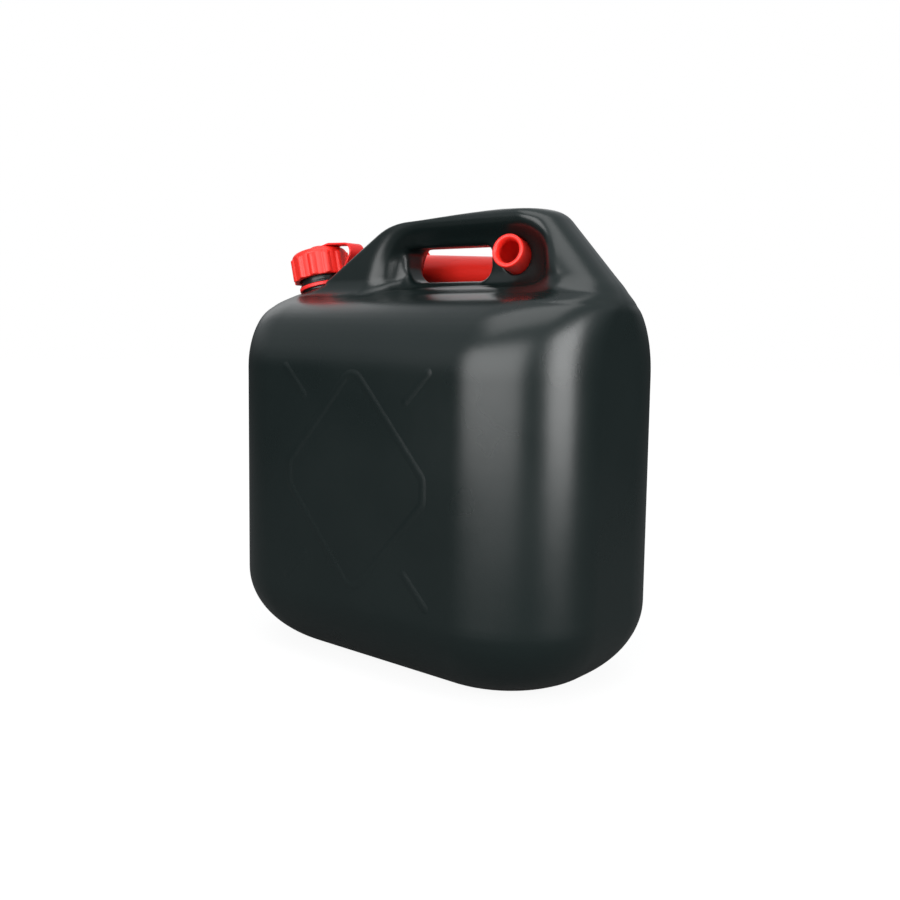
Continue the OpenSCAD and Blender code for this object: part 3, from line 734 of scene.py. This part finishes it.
def strap():
    """The strap in the neck's frame, from the stud over the cap's edge down to the ring."""
    top, low = CAP_TOP + STUD_RING_UP + TETHER_T / 2, RING_UP + RING_H / 2
    path = rounded([(6.5, top), (CAP_R - 2.5, top), (47, top - 8),
                    (RING_IN + RING_T + 7.8, low + 2), (RING_IN + RING_T - 0.5, low)], [10, 6, 6], n=14)
    fine = [path[0]]
    for a, b in zip(path[:-1], path[1:]):
        m = max(1, int(np.linalg.norm(b - a) / 1.2))
        fine += [a + (b - a) * t / m for t in range(1, m + 1)]
    tangents = np.gradient(np.array(fine), axis=0)
    tangents /= np.maximum(np.linalg.norm(tangents, axis=1, keepdims=True), 1e-9)
    w, t = STRAP_HALF - STRAP_EDGE, TETHER_T / 2 - STRAP_EDGE
    section = []
    for cx, cy, a0 in ((w, t, 0), (-w, t, 90), (-w, -t, 180), (w, -t, 270)):
        section += arc(cx, cy, STRAP_EDGE, a0, a0 + 90, 3)
    across, off = np.array(section).T
    rings = [np.stack([p[0] - off * d[1], across, p[1] + off * d[0]], -1) for p, d in zip(fine, tangents)]
    v, f = lathe(rings)
    return v, f + end_caps(rings)


stud_ring = CAP_TOP + STUD_RING_UP
parts = [strap(), band(RING_IN, RING_IN + RING_T, RING_UP, RING_UP + RING_H, 0.5),
         band(STUD_RING_IN, STUD_RING_OUT, stud_ring, stud_ring + TETHER_T, 0.4, 96)]
tether = join("tether_band", [(placed(v, NECK_AT, NECK_TURN), f) for v, f in parts], RED_SOFT, body=None)
soften(tether, 40)
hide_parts("tether")
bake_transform(tether)

# the rubber rings are the CAD solids with a rubber skin
for name in ("cap_gasket", "spout_gasket"):
    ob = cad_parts[name]
    ob.data.materials.clear()
    ob.data.materials.append(RUBBER)

# ---------------------------------------------------------------- floor
# The camera sees the floor white with the can's soft shadow close to it; the can sees it darker.
FLOOR_HALF, FLOOR_DOWN = 6.0, 0.0002
me = bpy.data.meshes.new("floor")
me.from_pydata([(x * FLOOR_HALF, y * FLOOR_HALF, 0) for x, y in ((-1, -1), (1, -1), (1, 1), (-1, 1))],
               [], [(0, 1, 2, 3)])
floor = bpy.data.objects.new("floor", me)
bpy.context.scene.collection.objects.link(floor)
floor.location.z = -FLOOR_DOWN
m, nt, bsdf = material("pale_floor")
bsdf.inputs["Base Color"].default_value = (0.12, 0.12, 0.12, 1)
bsdf.inputs["Roughness"].default_value = 0.9
bsdf.inputs["Specular IOR Level"].default_value = 0.0
link = nt.links.new
light_path = add(nt, "ShaderNodeLightPath")
white = add(nt, "ShaderNodeEmission", Color=(1, 1, 1, 1), Strength=1.04)
pale = add(nt, "ShaderNodeBsdfDiffuse", Color=(0.9, 0.9, 0.9, 1))
spot = add(nt, "ShaderNodeNewGeometry")
away = add(nt, "ShaderNodeVectorMath")
away.operation = "LENGTH"
fade = add(nt, "ShaderNodeMapRange", From_Min=0.25, From_Max=0.75, To_Min=0.13, To_Max=0.0)
seen = add(nt, "ShaderNodeMixShader")
pick = add(nt, "ShaderNodeMixShader")
link(spot.outputs["Position"], away.inputs[0])
link(away.outputs["Value"], fade.inputs["Value"])
link(fade.outputs["Result"], seen.inputs[0])
link(white.outputs[0], seen.inputs[1])
link(pale.outputs[0], seen.inputs[2])
link(light_path.outputs["Is Camera Ray"], pick.inputs[0])
link(bsdf.outputs[0], pick.inputs[1])
link(seen.outputs[0], pick.inputs[2])
link(pick.outputs[0], nt.nodes["Material Output"].inputs["Surface"])
me.materials.append(m)

# ---------------------------------------------------------------- light
# A sky that grows brighter upwards, white where the camera looks straight at it.
world = bpy.data.worlds.new("studio")
bpy.context.scene.world = world
world.use_nodes = True
nt = world.node_tree
link = nt.links.new
sky = nt.nodes["Background"]
sky.inputs["Color"].default_value = (0.93, 0.97, 1.0, 1)
toward = add(nt, "ShaderNodeTexCoord")
split = add(nt, "ShaderNodeSeparateXYZ")
rise = add(nt, "ShaderNodeMapRange", From_Min=-0.02, From_Max=0.40, To_Min=0.045, To_Max=0.46)
rise.interpolation_type = "SMOOTHSTEP"
backdrop = add(nt, "ShaderNodeBackground", Color=(1, 1, 1, 1), Strength=1.0)
light_path = add(nt, "ShaderNodeLightPath")
pick = add(nt, "ShaderNodeMixShader")
link(toward.outputs["Generated"], split.inputs[0])
link(split.outputs["Z"], rise.inputs["Value"])
link(rise.outputs["Result"], sky.inputs["Strength"])
link(light_path.outputs["Is Camera Ray"], pick.inputs[0])
link(sky.outputs[0], pick.inputs[1])
link(backdrop.outputs[0], pick.inputs[2])
link(pick.outputs[0], nt.nodes["World Output"].inputs["Surface"])


def softbox(name, azimuth, distance, height, width, tall, power):
    """A rectangular lamp aimed at the can; azimuth is its direction from the can, counted from +X."""
    data = bpy.data.lights.new(name, "AREA")
    data.shape = "RECTANGLE"
    data.size, data.size_y = width, tall
    data.energy = power
    ob = bpy.data.objects.new(name, data)
    bpy.context.scene.collection.objects.link(ob)
    a = math.radians(azimuth)
    ob.location = (distance * math.cos(a), distance * math.sin(a), height)
    aim = Vector((0, 0, 0.15)) - ob.location
    ob.rotation_euler = aim.to_track_quat("-Z", "Y").to_euler()
    ob.visible_camera = False


softbox("box_side", -78, 1.25, 0.42, 1.56, 1.1, 22.5)      # the broad highlight on the near corner
softbox("box_rear", -6, 1.25, 0.36, 0.62, 0.95, 14.0)      # the narrow highlight beside it
softbox("box_top", -60, 0.35, 1.5, 1.4, 1.0, 9.0)          # from above, for the shoulder
softbox("box_back", 142, 1.6, 1.12, 1.7, 0.95, 3.0)        # a rim of light from behind

# ---------------------------------------------------------------- camera, fitted to the photograph
CAMERA_AT = (0.45165, -0.52390, 0.23130)
AZIMUTH, TILT, ROLL = 40.016, -6.895, -0.828
scene = bpy.context.scene
cam_data = bpy.data.cameras.new("camera")
cam_data.sensor_width = 36.0
cam_data.lens = 38.595
cam_data.clip_start = 0.01
camera = bpy.data.objects.new("camera", cam_data)
scene.collection.objects.link(camera)
right, forward, up = (rot_z(AZIMUTH) @ rot_x(TILT) @ rot_y(ROLL)).T
camera.matrix_world = Matrix([[right[i], up[i], -forward[i], CAMERA_AT[i]] for i in range(3)]
                             + [[0, 0, 0, 1]])
scene.camera = camera
scene.view_settings.view_transform = "Standard"
